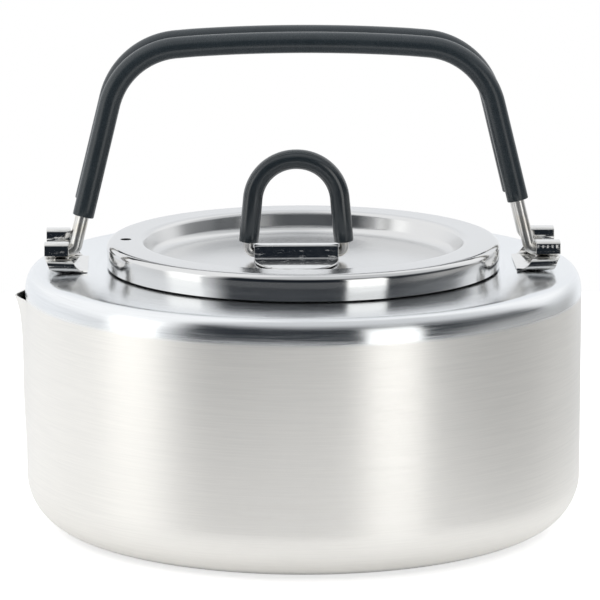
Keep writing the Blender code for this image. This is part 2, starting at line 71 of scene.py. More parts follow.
def look_from(place, aim):
    data = bpy.data.cameras.new("catalogue_camera")
    data.sensor_width = 36.0
    data.lens = LENS
    data.clip_start = 0.01
    data.clip_end = 50.0
    camera = bpy.data.objects.new("catalogue_camera", data)
    camera.location = place
    camera.rotation_euler = (aim - place).to_track_quat("-Z", "Y").to_euler()
    bpy.context.scene.collection.objects.link(camera)
    bpy.context.scene.camera = camera
    return camera


camera_x = AIM_X + CAMERA_AWAY * math.sin(CAMERA_TURN)
camera_y = -CAMERA_AWAY * math.cos(CAMERA_TURN)
camera = look_from(Vector((camera_x, camera_y, CAMERA_UP)) * MM, Vector((AIM_X, 0.0, AIM_UP)) * MM)
bpy.context.scene.view_settings.view_transform = "Standard"
print("camera at", [round(c, 3) for c in camera.location])

# %% [markdown]
# Writing a finish as sums
#
# A finish is a small network of nodes. Wiring it by hand takes many lines, so one small class
# stands for a value on its way through the network. Adding or multiplying two of them adds a
# Math node. Colours don't go through Math nodes, which would turn them grey. They are blended
# with a Mix node instead.

# %% A value that can be added and multiplied


class Signal:
    """A node's output, ready to be used in a sum."""

    def __init__(self, graph, socket):
        self.graph = graph
        self.socket = socket

    def sum(self, operation, *terms):
        return self.graph.node("ShaderNodeMath", {"operation": operation}, dict(enumerate(terms)))

    def __add__(self, other):
        return self.sum("ADD", self, other)

    def __radd__(self, other):
        return self.sum("ADD", other, self)

    def __sub__(self, other):
        return self.sum("SUBTRACT", self, other)

    def __rsub__(self, other):
        return self.sum("SUBTRACT", other, self)

    def __mul__(self, other):
        return self.sum("MULTIPLY", self, other)

    def __truediv__(self, other):
        return self.sum("DIVIDE", self, other)

    def __pow__(self, other):
        return self.sum("POWER", self, other)

    def __neg__(self):
        return self.sum("MULTIPLY", self, -1.0)

    def also(self, name):
        """Another output of the same node."""
        return Signal(self.graph, self.socket.node.outputs[name])


# %% [markdown]
# Every node comes from one method, `node`. Four steps that the finishes need again and again
# get methods of their own: a smooth step, a span with soft ends, a blend and grain. A finish is
# a network that ends in a shader. Values that stay the same all over a piece are set on the
# shader, and only those that vary are fed to it.

# %% A network of nodes


class Graph:
    """The nodes of one finish, or of the studio round the kettle."""

    def __init__(self, tree):
        self.tree = tree

    def connect(self, socket, value):
        if isinstance(value, Signal):
            self.tree.links.new(value.socket, socket)
        elif isinstance(value, (tuple, list)) and socket.type == "RGBA" and len(value) == 3:
            socket.default_value = (*value, 1.0)
        else:
            socket.default_value = value

    def node(self, kind, settings=None, sockets=None, out=0):
        made = self.tree.nodes.new(kind)
        for name, value in (settings or {}).items():
            setattr(made, name, value)
        for name, value in (sockets or {}).items():
            self.connect(made.inputs[name], value)
        return Signal(self, made.outputs[out])

    def ease(self, value, start, stop, curve="SMOOTHSTEP"):
        """0 below start, 1 above stop, and a smooth step between."""
        return self.node("ShaderNodeMapRange", {"interpolation_type": curve},
                         {"Value": value, "From Min": start, "From Max": stop})

    def span(self, value, start, full, fade, stop):
        """1 from full to fade, 0 outside start and stop, and smooth steps between."""
        return self.ease(value, start, full) - self.ease(value, fade, stop)

    def mix(self, first, second, share):
        """A blend of two colours."""
        return self.node("ShaderNodeMix", {"data_type": "RGBA"}, {0: share, 6: first, 7: second}, 2)

    def grain(self, x, y, z, detail=2.0):
        """Soft noise between 0 and 1 at a place given in noise cells."""
        spot = self.node("ShaderNodeCombineXYZ", None, {0: x, 1: y, 2: z})
        return self.node("ShaderNodeTexNoise", None,
                         {"Vector": spot, "Scale": 1.0, "Detail": detail, "Roughness": 0.6})


# %% A finish with its own shader


class Finish(Graph):
    """A material whose steady values sit on the shader and whose varying ones are fed to it."""

    def __init__(self, name, **steady):
        self.material = bpy.data.materials.new(name)
        self.material.use_nodes = True
        super().__init__(self.material.node_tree)
        self.shader = self.tree.nodes["Principled BSDF"]
        for socket, value in steady.items():
            self.connect(self.shader.inputs[socket.replace("_", " ")], value)
        print("finish:", name)

    def place(self):
        """Where the surface is on the kettle at rest, in millimetres: x, y and z."""
        spot = self.node("ShaderNodeTexCoord", None, None, "Object")
        parts = self.node("ShaderNodeSeparateXYZ", None, {0: spot})
        return parts * 1000.0, parts.also("Y") * 1000.0, parts.also("Z") * 1000.0

    def feed(self, socket, value):
        self.connect(self.shader.inputs[socket], value)

    def emboss(self, height, strength, depth_mm):
        """Bump from a height signal between 0 and 1."""
        bump = {"Height": height, "Strength": strength, "Distance": depth_mm * MM}
        self.feed("Normal", self.node("ShaderNodeBump", None, bump))


# %% [markdown]
# Brushed steel
#
# The pot spins on a mandrel while an abrasive pad is held against it, so the brush lines run
# round the pot. A lamp is then smeared up and down, across the lines, and stays sharp from side
# to side: the tall bright strips on the wall are exactly that. The shader does the smearing with
# its anisotropy, turned by a quarter so that it acts across the lines. The lines themselves are
# noise squeezed flat across the brushing and drawn out along it.
#
# On the wall the lines are told apart by height. On the shoulder and the lid they are told apart
# by radius, so `across` is the height less the radius, which grows all the way up the sheet. Only
# at the foot does the sheet go outward as it goes up, so there the radius is added.

# %% Lines that run round the pot
FOOT_TOP = 30.0


def brush_lines(finish, pitch_mm, length_mm):
    """Noise drawn out along circles round the pot's axis."""
    x, y, z = finish.place()
    radius = (x * x + y * y) ** 0.5
    foot = finish.node("ShaderNodeMath", {"operation": "LESS_THAN"}, {0: z, 1: FOOT_TOP})
    across = z - radius + foot * (radius * 2.0)
    return finish.grain(x / length_mm, y / length_mm, across / pitch_mm)


# %% [markdown]
# The wall stays as it was brushed. From the shoulder corner upward the pot is buffed, so the
# roughness halves and the warm cast of the brushing goes. The lowest few millimetres are
# painted a dull grey: a painted shadow for the dark line where the pot meets the table.

# %% Pot finish, with heights in millimetres
BRUSHED_BELOW = 62.2
POLISHED_ABOVE = 63.6
# heights of the painted shadow along the pot's foot
FOOT_SHADOW_BELOW = 0.5
UNSHADED_ABOVE = 2.6
BRUSHED_ROUGH = 0.40
POLISHED_ROUGH = 0.21
BRUSHED_TINT = (0.93, 0.915, 0.88)
POLISHED_TINT = (0.88, 0.90, 0.92)
POLISHED_DULL = (0.83, 0.85, 0.87)
FOOT_SHADOW_TINT = (0.50, 0.50, 0.49)


def pot_finish():
    finish = Finish("pot_brushed_steel", Metallic=1.0, Anisotropic=0.75, Anisotropic_Rotation=0.25)
    height = finish.place()[2]
    polished = finish.ease(height, BRUSHED_BELOW, POLISHED_ABOVE)
    unshaded = finish.ease(height, FOOT_SHADOW_BELOW, UNSHADED_ABOVE)
    fine = brush_lines(finish, pitch_mm=0.24, length_mm=16.0)
    broad = brush_lines(finish, pitch_mm=1.5, length_mm=50.0)
    lines = finish.ease(fine * 0.8 + broad * 0.2, 0.30, 0.70)
    rough = BRUSHED_ROUGH + (lines - 0.5) * 0.10
    finish.feed("Roughness", rough - polished * (BRUSHED_ROUGH - POLISHED_ROUGH))
    bright = finish.mix(BRUSHED_TINT, POLISHED_TINT, polished)
    dull = finish.mix(tuple(c * 0.94 for c in BRUSHED_TINT), POLISHED_DULL, polished)
    steel = finish.mix(dull, bright, lines)
    # the dull grey at the foot is a painted shadow
    finish.feed("Base Color", finish.mix(FOOT_SHADOW_TINT, steel, unshaded))
    finish.emboss(lines, strength=0.10, depth_mm=0.03)
    return finish.material


pot_steel = pot_finish()

# %% [markdown]
# The lid is one more pressing of the same sheet. It is polished after pressing, again on a
# spindle, so fine circles remain and the reflections stay a little soft. The rounded edge and
# the skirt are smoother than the rest.

# %% Lid finish
LID_ROUGH = 0.20
LID_DULL = (0.70, 0.705, 0.71)
LID_TINT = (0.755, 0.76, 0.765)
SKIRT_FROM_R = 50.6
SKIRT_FULL_R = 52.0


def lid_finish():
    finish = Finish("lid_polished_steel", Metallic=1.0, Anisotropic=0.3, Anisotropic_Rotation=0.25)
    fine = brush_lines(finish, pitch_mm=0.14, length_mm=18.0)
    broad = brush_lines(finish, pitch_mm=1.8, length_mm=60.0)
    lines = fine * 0.6 + broad * 0.4
    x, y, z = finish.place()
    skirt = finish.ease((x * x + y * y) ** 0.5, SKIRT_FROM_R, SKIRT_FULL_R)
    finish.feed("Roughness", LID_ROUGH + (lines - 0.5) * 0.08 - skirt * 0.10)
    finish.feed("Base Color", finish.mix(LID_DULL, LID_TINT, lines))
    finish.emboss(lines, strength=0.10, depth_mm=0.02)
    return finish.material


lid_steel = lid_finish()

# %% [markdown]
# Bracket and clip sheet
#
# These small pressings are tumbled with polishing stones and come out mirror bright, with a few
# hairlines in every direction. They have no brushing, so the shader needs no anisotropy. The
# tumbling leaves a cloudy change of roughness, and handling leaves duller smears along the folds.
# The tool that closed the front roll of the right bracket left a row of five small marks. They
# are too shallow to be worth mesh, so they are dents in the finish, and their near-white colour
# is a painted glint.

# %% Tool marks, in millimetres
MARK_COUNT = 5
MARK_PITCH = 1.27
MARK_START = 62.45
MARK_STOP = MARK_START + MARK_PITCH * (MARK_COUNT - 0.5)
MARK_RISE = 76.75
MARK_FRONT = 12.0


def tool_marks_and_glint(finish):
    """1 in five small spots on the front of the right bracket's front roll, and 0 elsewhere."""
    x, y, z = finish.place()
    turn = (x - MARK_START) * (2.0 * math.pi / MARK_PITCH)
    spots = finish.ease(turn.sum("COSINE", turn), 0.0, 0.7)
    row = finish.span(x, MARK_START - 0.6, MARK_START - 0.4, MARK_STOP - MARK_PITCH * 0.2, MARK_STOP)
    band = finish.span(z, MARK_RISE - 0.55, MARK_RISE - 0.25, MARK_RISE + 0.25, MARK_RISE + 0.55)
    return spots * row * band * finish.ease(-y, MARK_FRONT - 0.5, MARK_FRONT)


# %% Tumbled sheet
MARK_GLINT_TINT = (0.97, 0.96, 0.94)


def tumbled_sheet(name, tint, rough):
    finish = Finish(name, Metallic=1.0)
    x, y, z = finish.place()
    marks_and_glint = tool_marks_and_glint(finish)
    cloud = finish.grain(x / 1.6, y / 1.6, z / 1.6, 4.0)
    hair = finish.grain(x / 0.08, y / 2.5 + x / 6.0, z / 0.9, 1.0)
    smear = finish.ease(finish.grain(x / 2.6, y / 0.9, z / 0.7, 5.0), 0.56, 0.70)
    tumbled = rough + (cloud - 0.45) * 0.12 + (hair - 0.5) * 0.05
    finish.feed("Roughness", tumbled + smear * 0.30 + marks_and_glint * 0.45)
    steel = finish.mix(tuple(c * 0.9 for c in tint), tint, cloud * 1.2)
    # the near-white colour of the marks is a painted glint
    finish.feed("Base Color", finish.mix(steel, MARK_GLINT_TINT, marks_and_glint))
    finish.emboss(cloud * 0.7 + hair * 0.3 - marks_and_glint * 30.0, strength=0.08, depth_mm=0.03)
    return finish.material


bracket_steel = tumbled_sheet("bracket_tumbled_steel", tint=(0.84, 0.835, 0.82), rough=0.09)
clip_steel = tumbled_sheet("clip_tumbled_steel", tint=(0.82, 0.825, 0.825), rough=0.08)

# %% [markdown]
# Drawn wire
#
# Wire is pulled through a die, which leaves fine lines along its length and a faint warm cast
# where it was bent and cleaned. The bails run mostly up and down, so the lines are noise drawn
# out along height.

# %% Wire finish
WIRE_TINT = (0.83, 0.82, 0.80)
WIRE_WARM = (0.80, 0.765, 0.70)


def drawn_wire(name, up_mm, across_mm):
    finish = Finish(name, Metallic=1.0)
    x, y, z = finish.place()
    lines = finish.grain(x / across_mm, y / 0.12, z / up_mm, 3.0)
    patch = finish.ease(finish.grain(x / 4.0, y / 4.0, z / 4.0), 0.4, 0.7)
    finish.feed("Roughness", 0.24 + lines * 0.14)
    finish.feed("Base Color", finish.mix(WIRE_TINT, WIRE_WARM, patch))
    finish.emboss(lines, strength=0.12, depth_mm=0.03)
    return finish.material


bail_steel = drawn_wire("bail_drawn_wire", up_mm=9.0, across_mm=0.14)
ring_steel = drawn_wire("ring_drawn_wire", up_mm=5.0, across_mm=0.12)

# %% [markdown]
# Sleeves
#
# Each wire wears a length of black rubber tube, pushed on warm. It is satin, blue-black, and it
# has a very fine skin texture with slight stretch marks where the wire bends. The colour varies
# little and the roughness more, because that is how rubber tube catches the light. The tube on
# the lid ring is handled each time the lid comes off, so it is a little smoother.

# %% Sleeve rubber
RUBBER_DARK = (0.024, 0.033, 0.040)
RUBBER_PALE = (0.042, 0.054, 0.063)


def sleeve_finish(name, rough, shine):
    finish = Finish(name, Metallic=0.0, Specular_IOR_Level=shine)
    x, y, z = finish.place()
    skin = finish.grain(x / 0.22, y / 0.22, z / 0.22, 3.0)
    smear = finish.grain(x / 7.0, y / 3.0, z / 7.0)
    finish.feed("Roughness", rough + (skin - 0.5) * 0.16 + (smear - 0.5) * 0.12)
    finish.feed("Base Color", finish.mix(RUBBER_DARK, RUBBER_PALE, smear))
    finish.emboss(skin * 0.5 + smear * 0.5, strength=0.10, depth_mm=0.05)
    return finish.material


sleeve_rubber = sleeve_finish("sleeve_satin_rubber", rough=0.27, shine=0.5)
ring_rubber = sleeve_finish("ring_handled_rubber", rough=0.20, shine=0.8)

# %% [markdown]
# Tools for pressed sheet and bent wire
#
# Three kinds of shape make the whole kettle. A pressing is a profile turned round the axis. A
# wire or a sleeve is a round section pushed along a path. A bracket or clip is a flat strip bent
# along a path. Each gets one function, and all of them work in millimetres.

# %% Arcs and a finished piece


def arc(centre, radius, start, stop, steps):
    """Points on an arc, with its angles in degrees."""
    points = []
    for number in range(steps + 1):
        angle = math.radians(start + (stop - start) * number / steps)
        points.append((centre[0] + radius * math.cos(angle), centre[1] + radius * math.sin(angle)))
    return points


def soft_step(value):
    value = min(max(value, 0.0), 1.0)
    return value * value * (3.0 - 2.0 * value)


def finish_piece(name, bm, body, node, material, crease=35):
    """Turns the built faces into an object, and hands it to the body it moves with."""
    bmesh.ops.recalc_face_normals(bm, faces=bm.faces)
    bmesh.ops.scale(bm, vec=(MM, MM, MM), verts=bm.verts)
    mesh = bpy.data.meshes.new(name)
    bm.to_mesh(mesh)
    bm.free()
    mesh.shade_smooth()
    mesh.set_sharp_from_angle(angle=math.radians(crease))
    mesh.materials.append(material)
    piece = bpy.data.objects.new(name, mesh)
    bpy.context.scene.collection.objects.link(piece)
    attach(piece, body)
    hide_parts(node)
    print(name, len(mesh.polygons), "faces")


def join_rings(bm, ring, after):
    """Faces between two closed loops of points; a loop may be a single point."""
    count = max(len(ring), len(after))
    for k in range(count):
        n = (k + 1) % count
        if len(ring) == 1:
            bm.faces.new((ring[0], after[n], after[k]))
        elif len(after) == 1:
            bm.faces.new((ring[k], ring[n], after[0]))
        else:
            bm.faces.new((ring[k], ring[n], after[n], after[k]))


# %% [markdown]
# The pot
#
# A real pot is drawn from one disc of sheet, then its mouth is necked in and the lip is pressed
# outward through a slit near the top of the wall. Here the outer skin is a profile turned round
# the axis, the inner skin is the same profile moved in by the sheet's thickness, and the two
# meet at the neck rim. Round the lip the columns stand closer together, and each point of the
# wall is pushed out by a smooth bulge that is sharpest at the slit and fades down the wall.

# %% Pot sizes, in millimetres
POT_R = 75.0
POT_SHEET = 0.5
BASE_ROUND = 13.4
WALL_TOP = 62.0
CORNER_DEEP = 4.5
CORNER_TALL = 7.8
CORNER_SQUARE = 2.6
CORNER_FIRST = 8.6
CORNER_STEPS = 40
DOME_DROP = 0.24
DOME_SLOPE = math.tan(math.radians(4.0))
DOME_IN_R = 62.0
DOME_STEPS = 14
SHOULDER_FALL = math.radians(1.0)
SHOULDER_STEPS = 12
NECK_R = 50.9
NECK_TOP = 76.1
NECK_ROUND = 0.8
CREST_R = POT_R - CORNER_DEEP
CREST_Z = WALL_TOP + CORNER_TALL
NECK_FOOT = CREST_Z - (CREST_R - NECK_R - NECK_ROUND) * math.tan(SHOULDER_FALL)
print("shoulder crest at", round(CREST_Z, 2), "mm, neck foot at", round(NECK_FOOT, 2), "mm")

# %% The pot's profile


def pot_profile(inset):
    """The base and its round, then from the shoulder corner to the neck rim."""
    below = [(POT_R * share, inset) for share in (0.15, 0.32, 0.5, 0.66, 0.76)]
    below += arc((POT_R - BASE_ROUND, BASE_ROUND), BASE_ROUND - inset, -90, 0, 16)
    # the corner is a little squarer than a quarter of an ellipse
    above = []
    for k in range(CORNER_STEPS + 1):
        angle = math.radians(CORNER_FIRST + (90.0 - CORNER_FIRST) * (k / CORNER_STEPS) ** 1.1)
        out = (CORNER_DEEP - inset) * max(math.cos(angle), 0.0) ** (2.0 / CORNER_SQUARE)
        up = (CORNER_TALL - DOME_DROP - inset) * math.sin(angle) ** (2.0 / CORNER_SQUARE)
        point = (CREST_R + out, WALL_TOP + up)
        if above and point[1] - above[-1][1] < DOME_SLOPE * (above[-1][0] - point[0]):
            break
        above.append(point)
    # from there the shoulder flattens slowly
    edge_r, edge_z = above[-1]
    width = edge_r - DOME_IN_R
    for k in range(1, DOME_STEPS + 1):
        far = width * k / DOME_STEPS
        above.append((edge_r - far, edge_z + DOME_SLOPE * (far - far * far / (2.0 * width))))
    # a straight run goes down to the neck's foot, and the neck goes up
    neck_centre = (NECK_R + NECK_ROUND, NECK_FOOT + NECK_ROUND)
    corner = arc(neck_centre, NECK_ROUND + inset, math.degrees(SHOULDER_FALL) - 90, -180, 8)
    start_r, start_z = above[-1]
    run = start_r - corner[0][0]
    drop = start_z - corner[0][1]
    for k in range(1, SHOULDER_STEPS):
        above.append((start_r - run * k / SHOULDER_STEPS, start_z - drop * k / SHOULDER_STEPS))
    above += corner
    above.append((NECK_R - inset, NECK_TOP - 0.25))
    return below, above


# %% [markdown]
# The bulge of the lip has two parts. The peak is what the press tool pushed out at the slit, and
# it fades within a few millimetres below. The keel is the long soft ridge that the stretched
# sheet shows further down. Seen from above both are a blunt wedge, rounded at its nose.

# %% The pouring lip, in millimetres
LIP_Z = 61.9
LIP_HALF = 9.6
LIP_OUT = 2.9
LIP_NOSE = 0.16
LIP_FADE = 5.0
LIP_WIDEN = 0.25
LIP_WIDEN_TALL = 30.0
KEEL_OUT = 0.75
KEEL_FOOT = 16.0
KEEL_TALL = 22.0
MOUTH_RISE = 1.7
SLIT_COLUMNS = 15
FINE_TURN = LIP_HALF / POT_R / SLIT_COLUMNS
FINE_COUNT = 27
PLAIN_COLUMNS = 216
WALL_ROWS = 26


def lip_push(across, height):
    """How far the pressed lip stands out of the plain wall."""
    drop = LIP_Z - height
    peak = (LIP_OUT - KEEL_OUT) * math.exp(-drop / LIP_FADE)
    keel = KEEL_OUT * soft_step((height - KEEL_FOOT) / KEEL_TALL)
    reach = LIP_HALF * (1.0 + LIP_WIDEN * soft_step(drop / LIP_WIDEN_TALL))
    spread = min(math.hypot(across / reach, LIP_NOSE), 1.0)
    return (peak + keel) * min((1.0 - spread) / (1.0 - LIP_NOSE), 1.0) ** 1.1


def pot_columns():
    """Directions round the pot, measured from the lip, closer together near it."""
    fine = [k * FINE_TURN for k in range(-FINE_COUNT, FINE_COUNT + 1)]
    rest = 2.0 * math.pi - 2.0 * FINE_COUNT * FINE_TURN
    return fine + [fine[-1] + rest * k / PLAIN_COLUMNS for k in range(1, PLAIN_COLUMNS)]


# %% [markdown]
# Each skin is made in two halves, one below the slit and one above it. Over the slit the upper
# half starts with a low arch, which is the mouth. Beside the slit the two halves are welded.

# %% Build the pot


def pot_skin(bm, inset):
    """One skin of the pot; gives the rows below and above the slit, and the rim row."""
    columns = pot_columns()
    below, above = pot_profile(inset)
    wall = [KEEL_FOOT + (LIP_Z - KEEL_FOOT) * (1.0 - (1.0 - k / WALL_ROWS) ** 1.7)
            for k in range(WALL_ROWS + 1)]

    def ring(radius, height, push=False, rise=0.0):
        made = []
        for turn in columns:
            across = POT_R * turn
            out = radius + (lip_push(across, height) if push else 0.0)
            arch = math.cos(min(abs(across) / LIP_HALF, 1.0) * math.pi / 2.0)
            angle = math.pi + turn
            spot = (out * math.cos(angle), out * math.sin(angle), height + rise * arch)
            made.append(bm.verts.new(spot))
        return made

    lower = [[bm.verts.new((0.0, 0.0, inset))]]
    lower += [ring(radius, height) for radius, height in below]
    lower += [ring(POT_R - inset, height, push=True) for height in wall]
    upper = [ring(POT_R - inset, LIP_Z, rise=MOUTH_RISE)]
    upper += [ring(radius, height) for radius, height in above]
    for half in (lower, upper):
        for row, after in zip(half, half[1:]):
            join_rings(bm, row, after)
    return lower[-1], upper[0], upper[-1]


def build_pot():
    bm = bmesh.new()
    outer_lip, outer_mouth, outer_rim = pot_skin(bm, 0.0)
    inner_lip, inner_mouth, inner_rim = pot_skin(bm, POT_SHEET)
    crest = []
    for a, b in zip(outer_rim, inner_rim):
        middle = (a.co + b.co) / 2.0
        crest.append(bm.verts.new((middle.x, middle.y, NECK_TOP)))
    join_rings(bm, outer_rim, crest)
    join_rings(bm, crest, inner_rim)
    first = FINE_COUNT - SLIT_COLUMNS
    last = FINE_COUNT + SLIT_COLUMNS
    for outer, inner in ((outer_lip, inner_lip), (outer_mouth, inner_mouth)):
        for k in range(first, last):
            bm.faces.new((outer[k], outer[k + 1], inner[k + 1], inner[k]))
    welds = {}
    for k in range(len(outer_lip)):
        if k <= first or k >= last:
            welds[outer_mouth[k]] = outer_lip[k]
            welds[inner_mouth[k]] = inner_lip[k]
    bmesh.ops.weld_verts(bm, targetmap=welds)
    finish_piece("pot_shell", bm, "kettle", "kettle_body", pot_steel)


build_pot()

# %% [markdown]
# The lid
#
# The lid is pressed in one stroke: a skirt that drops over the neck, a flat rim band, and a
# dished middle that leaves room for the ring. A small vent hole near the rim lets steam out.
# The profile is turned round the axis like the pot. The hole is cut by leaving out a block of
# panels in the rim band, above and below, and filling up to a circle that has the same number
# of points as the block's edge.

# %% Lid sizes, in millimetres
LID_SHEET = 0.5
LID_SKIRT_R = 52.8
LID_RIM_R = 53.0
LID_RIM_ROUND = 2.0
DISH_EDGE_R = 44.5
DISH_FOOT_R = 39.02
DISH_ROUND = 1.8
DISH_FOOT_ROUND = 3.0
DISH_DEPTH = 5.8
LID_TOP = NECK_TOP + 0.3 + LID_SHEET
DISH_FLOOR = LID_TOP - DISH_DEPTH
LID_SKIRT_Z = NECK_FOOT + 0.55
LID_COLUMNS = 216
VENT_R = 1.5
VENT_X = -47.8
VENT_BLOCK_HALF = 2.2
VENT_PANELS = 6
VENT_PANEL_TURN = math.radians(0.85)
print("lid from", round(LID_SKIRT_Z, 2), "to", round(LID_TOP, 2), "mm")

# %% The lid's profile


def lid_profile(inset):
    """From the skirt's foot to the dish's middle, and the row where the vent's block starts."""
    tilt = math.degrees(math.atan2(LID_RIM_R - LID_SKIRT_R, LID_TOP - LID_SKIRT_Z))
    rim_centre = (LID_RIM_R - LID_RIM_ROUND, LID_TOP - LID_RIM_ROUND)
    edge_centre = (DISH_EDGE_R, LID_TOP - DISH_ROUND)
    foot_centre = (DISH_FOOT_R, DISH_FLOOR + DISH_FOOT_ROUND)
    points = [(LID_SKIRT_R - inset, LID_SKIRT_Z)]
    points += arc(rim_centre, LID_RIM_ROUND - inset, -tilt, 90, 10)
    block_row = len(points)
    for k in range(VENT_PANELS + 1):
        radius = VENT_BLOCK_HALF * (1.0 - 2.0 * k / VENT_PANELS) - VENT_X
        points.append((radius, LID_TOP - inset))
    points += arc(edge_centre, DISH_ROUND - inset, 90, 160, 10)
    points += arc(foot_centre, DISH_FOOT_ROUND + inset, -20, -90, 14)
    points += [(radius, DISH_FLOOR - inset) for radius in (38.0, 30.0, 20.0, 10.0)]
    return points, block_row


# %% Build the lid


def vent_edge(grid, block_row):
    """The closed edge of the block of panels that is left out, in order round it."""
    rows = [row[:VENT_PANELS + 1] for row in grid[block_row:block_row + VENT_PANELS + 1]]
    edge = list(rows[0])
    edge += [row[-1] for row in rows[1:]]
    edge += rows[-1][-2::-1]
    edge += [row[0] for row in rows[-2:0:-1]]
    return edge


def build_lid():
    bm = bmesh.new()
    half = VENT_PANELS // 2
    angles = [math.pi + VENT_PANEL_TURN * k for k in range(-half, half + 1)]
    plain = LID_COLUMNS - VENT_PANELS
    around = 2.0 * math.pi - VENT_PANELS * VENT_PANEL_TURN
    angles += [angles[-1] + around * k / plain for k in range(1, plain)]
    feet = []
    holes = []
    for inset in (0.0, LID_SHEET):
        profile, block_row = lid_profile(inset)
        grid = []
        for radius, height in profile:
            grid.append([bm.verts.new((radius * math.cos(angle), radius * math.sin(angle), height))
                         for angle in angles])
        for i, (row, after) in enumerate(zip(grid, grid[1:])):
            first = VENT_PANELS if block_row <= i < block_row + VENT_PANELS else 0
            for k in range(first, LID_COLUMNS):
                n = (k + 1) % LID_COLUMNS
                bm.faces.new((row[k], row[n], after[n], after[k]))
        join_rings(bm, grid[-1], [bm.verts.new((0.0, 0.0, DISH_FLOOR - inset))])
        edge = vent_edge(grid, block_row)
        hole = []
        for vert in edge:
            away = Vector((vert.co.x - VENT_X, vert.co.y)).normalized() * VENT_R
            hole.append(bm.verts.new((VENT_X + away.x, away.y, vert.co.z)))
        join_rings(bm, edge, hole)
        holes.append(hole)
        feet.append(grid[0])
    join_rings(bm, holes[0], holes[1])
    join_rings(bm, feet[0], feet[1])
    finish_piece("lid_pressing", bm, "lid", "lid", lid_steel)


build_lid()

# %% [markdown]
# Bent wire and sleeves
#
# The path of a wire is a row of corners, each rounded to the radius of the bending tool. A
# round section is set square to the path at every point and the sections are joined. Wire ends
# are cropped and lightly chamfered. A sleeve follows the same path, shortened at both ends, with
# a bore a little wider than the wire.

# %% Rounded paths


def fillet_path(corners, radii, step):
    """Straight runs joined by arcs, with a point about every so many degrees."""
    path = [Vector(corners[0])]
    for before, corner, after, radius in zip(corners, corners[1:], corners[2:], radii):
        corner = Vector(corner)
        a = (Vector(before) - corner).normalized()
        b = (Vector(after) - corner).normalized()
        if radius <= 0.0:
            path.append(corner)
            continue
        half = math.acos(max(-1.0, min(1.0, a.dot(b)))) / 2.0
        middle = corner + (a + b).normalized() * (radius / math.sin(half))
        start = corner + a * (radius / math.tan(half)) - middle
        stop = corner + b * (radius / math.tan(half)) - middle
        swing = math.atan2(start.x * stop.y - start.y * stop.x, start.dot(stop))
        count = max(2, math.ceil(abs(math.degrees(swing)) / step))
        for k in range(count + 1):
            c, s = math.cos(swing * k / count), math.sin(swing * k / count)
            path.append(middle + Vector((start.x * c - start.y * s, start.x * s + start.y * c)))
    path.append(Vector(corners[-1]))
    return path


def shorten(path, first, last):
    """The same path with a length taken off each end."""
    def cut(points, length):
        points = list(points)
        while len(points) > 2 and (points[1] - points[0]).length < length:
            length -= (points[1] - points[0]).length
            points.pop(0)
        points[0] = points[0] + (points[1] - points[0]).normalized() * length
        return points
    return cut(cut(path, first)[::-1], last)[::-1]


def refine(path, longest):
    """Extra points in the long straight runs, so that the finish has something to hold on to."""
    fine = [path[0]]
    for a, b in zip(path, path[1:]):
        parts = max(1, math.ceil((b - a).length / longest))
        fine += [a.lerp(b, k / parts) for k in range(1, parts + 1)]
    return fine


def heading(path, i):
    """The direction of a path at one of its points, halfway between the runs beside it."""
    one = path[i] - path[max(i - 1, 0)]
    two = path[min(i + 1, len(path) - 1)] - path[i]
    one = two if one.length < 1e-9 else one
    two = one if two.length < 1e-9 else two
    return (one.normalized() + two.normalized()).normalized()


# %% Round sections along a path
WIRE_STEP = 4.0
SLEEVE_STEP = 2.5
SLEEVE_EDGE = 0.3
CLEAR = 0.3


def section_rings(bm, path, radii, sides, to_space):
    rings = []
    for i, point in enumerate(path):
        along = heading(path, i)
        side = Vector((along.y, -along.x))
        ring = []
        for k in range(sides):
            angle = 2.0 * math.pi * k / sides
            flat = point + side * (radii[i] * math.cos(angle))
            ring.append(bm.verts.new(to_space(flat.x, flat.y, radii[i] * math.sin(angle))))
        rings.append(ring)
    for ring, after in zip(rings, rings[1:]):
        join_rings(bm, ring, after)
    return rings


def close_end(bm, ring):
    middle = sum((v.co for v in ring), Vector()) / len(ring)
    join_rings(bm, ring, [bm.verts.new(middle)])


def bend_wire(bm, path, radius, to_space, chamfer, sides=28):
    path = refine(shorten(path, chamfer, chamfer), WIRE_STEP)
    tips = [path[0] + (path[0] - path[1]).normalized() * chamfer,
            path[-1] + (path[-1] - path[-2]).normalized() * chamfer]
    path = [tips[0]] + path + [tips[1]]
    radii = [radius - chamfer] + [radius] * (len(path) - 2) + [radius - chamfer]
    rings = section_rings(bm, path, radii, sides, to_space)
    close_end(bm, rings[0])
    close_end(bm, rings[-1])


def push_sleeve(bm, path, radius, bore, to_space, sides=32):
    """A tube with slightly rounded ends."""
    inner = refine(path, SLEEVE_STEP)
    full = refine(shorten(path, SLEEVE_EDGE, SLEEVE_EDGE), SLEEVE_STEP)
    near = shorten(path, SLEEVE_EDGE * 0.3, SLEEVE_EDGE * 0.3)
    skin_path = [path[0], near[0]] + full + [near[-1], path[-1]]
    taper = [radius - SLEEVE_EDGE, radius - SLEEVE_EDGE * 0.3]
    radii = taper + [radius] * len(full) + taper[::-1]
    skin = section_rings(bm, skin_path, radii, sides, to_space)
    hollow = section_rings(bm, inner, [bore] * len(inner), sides, to_space)
    join_rings(bm, skin[0], hollow[0])
    join_rings(bm, skin[-1], hollow[-1])


def wire_and_sleeve(name, body, path, cuts, wire_r, sleeve_r, chamfer, to_space, steel, rubber):
    """A wire, and the sleeve on what is left of its path when a cut is taken off each end."""
    wire = bmesh.new()
    bend_wire(wire, path, wire_r, to_space, chamfer)
    finish_piece(name + "_rod", wire, body, body + "_wire", steel)
    tube = bmesh.new()
    push_sleeve(tube, shorten(path, *cuts), sleeve_r, wire_r + CLEAR, to_space)
    finish_piece(name + "_tube", tube, body, body + "_sleeve", rubber)


# %% [markdown]
# The bails
#
# There are two bails, one in front and one behind. Each leans a little over the lid so that
# both grips meet above the middle and a hand holds them as one. Each ends in two short tails
# that turn outward into the rolls of the brackets. The front and rear sleeves are not cut to
# quite the same length, as on the real kettle.

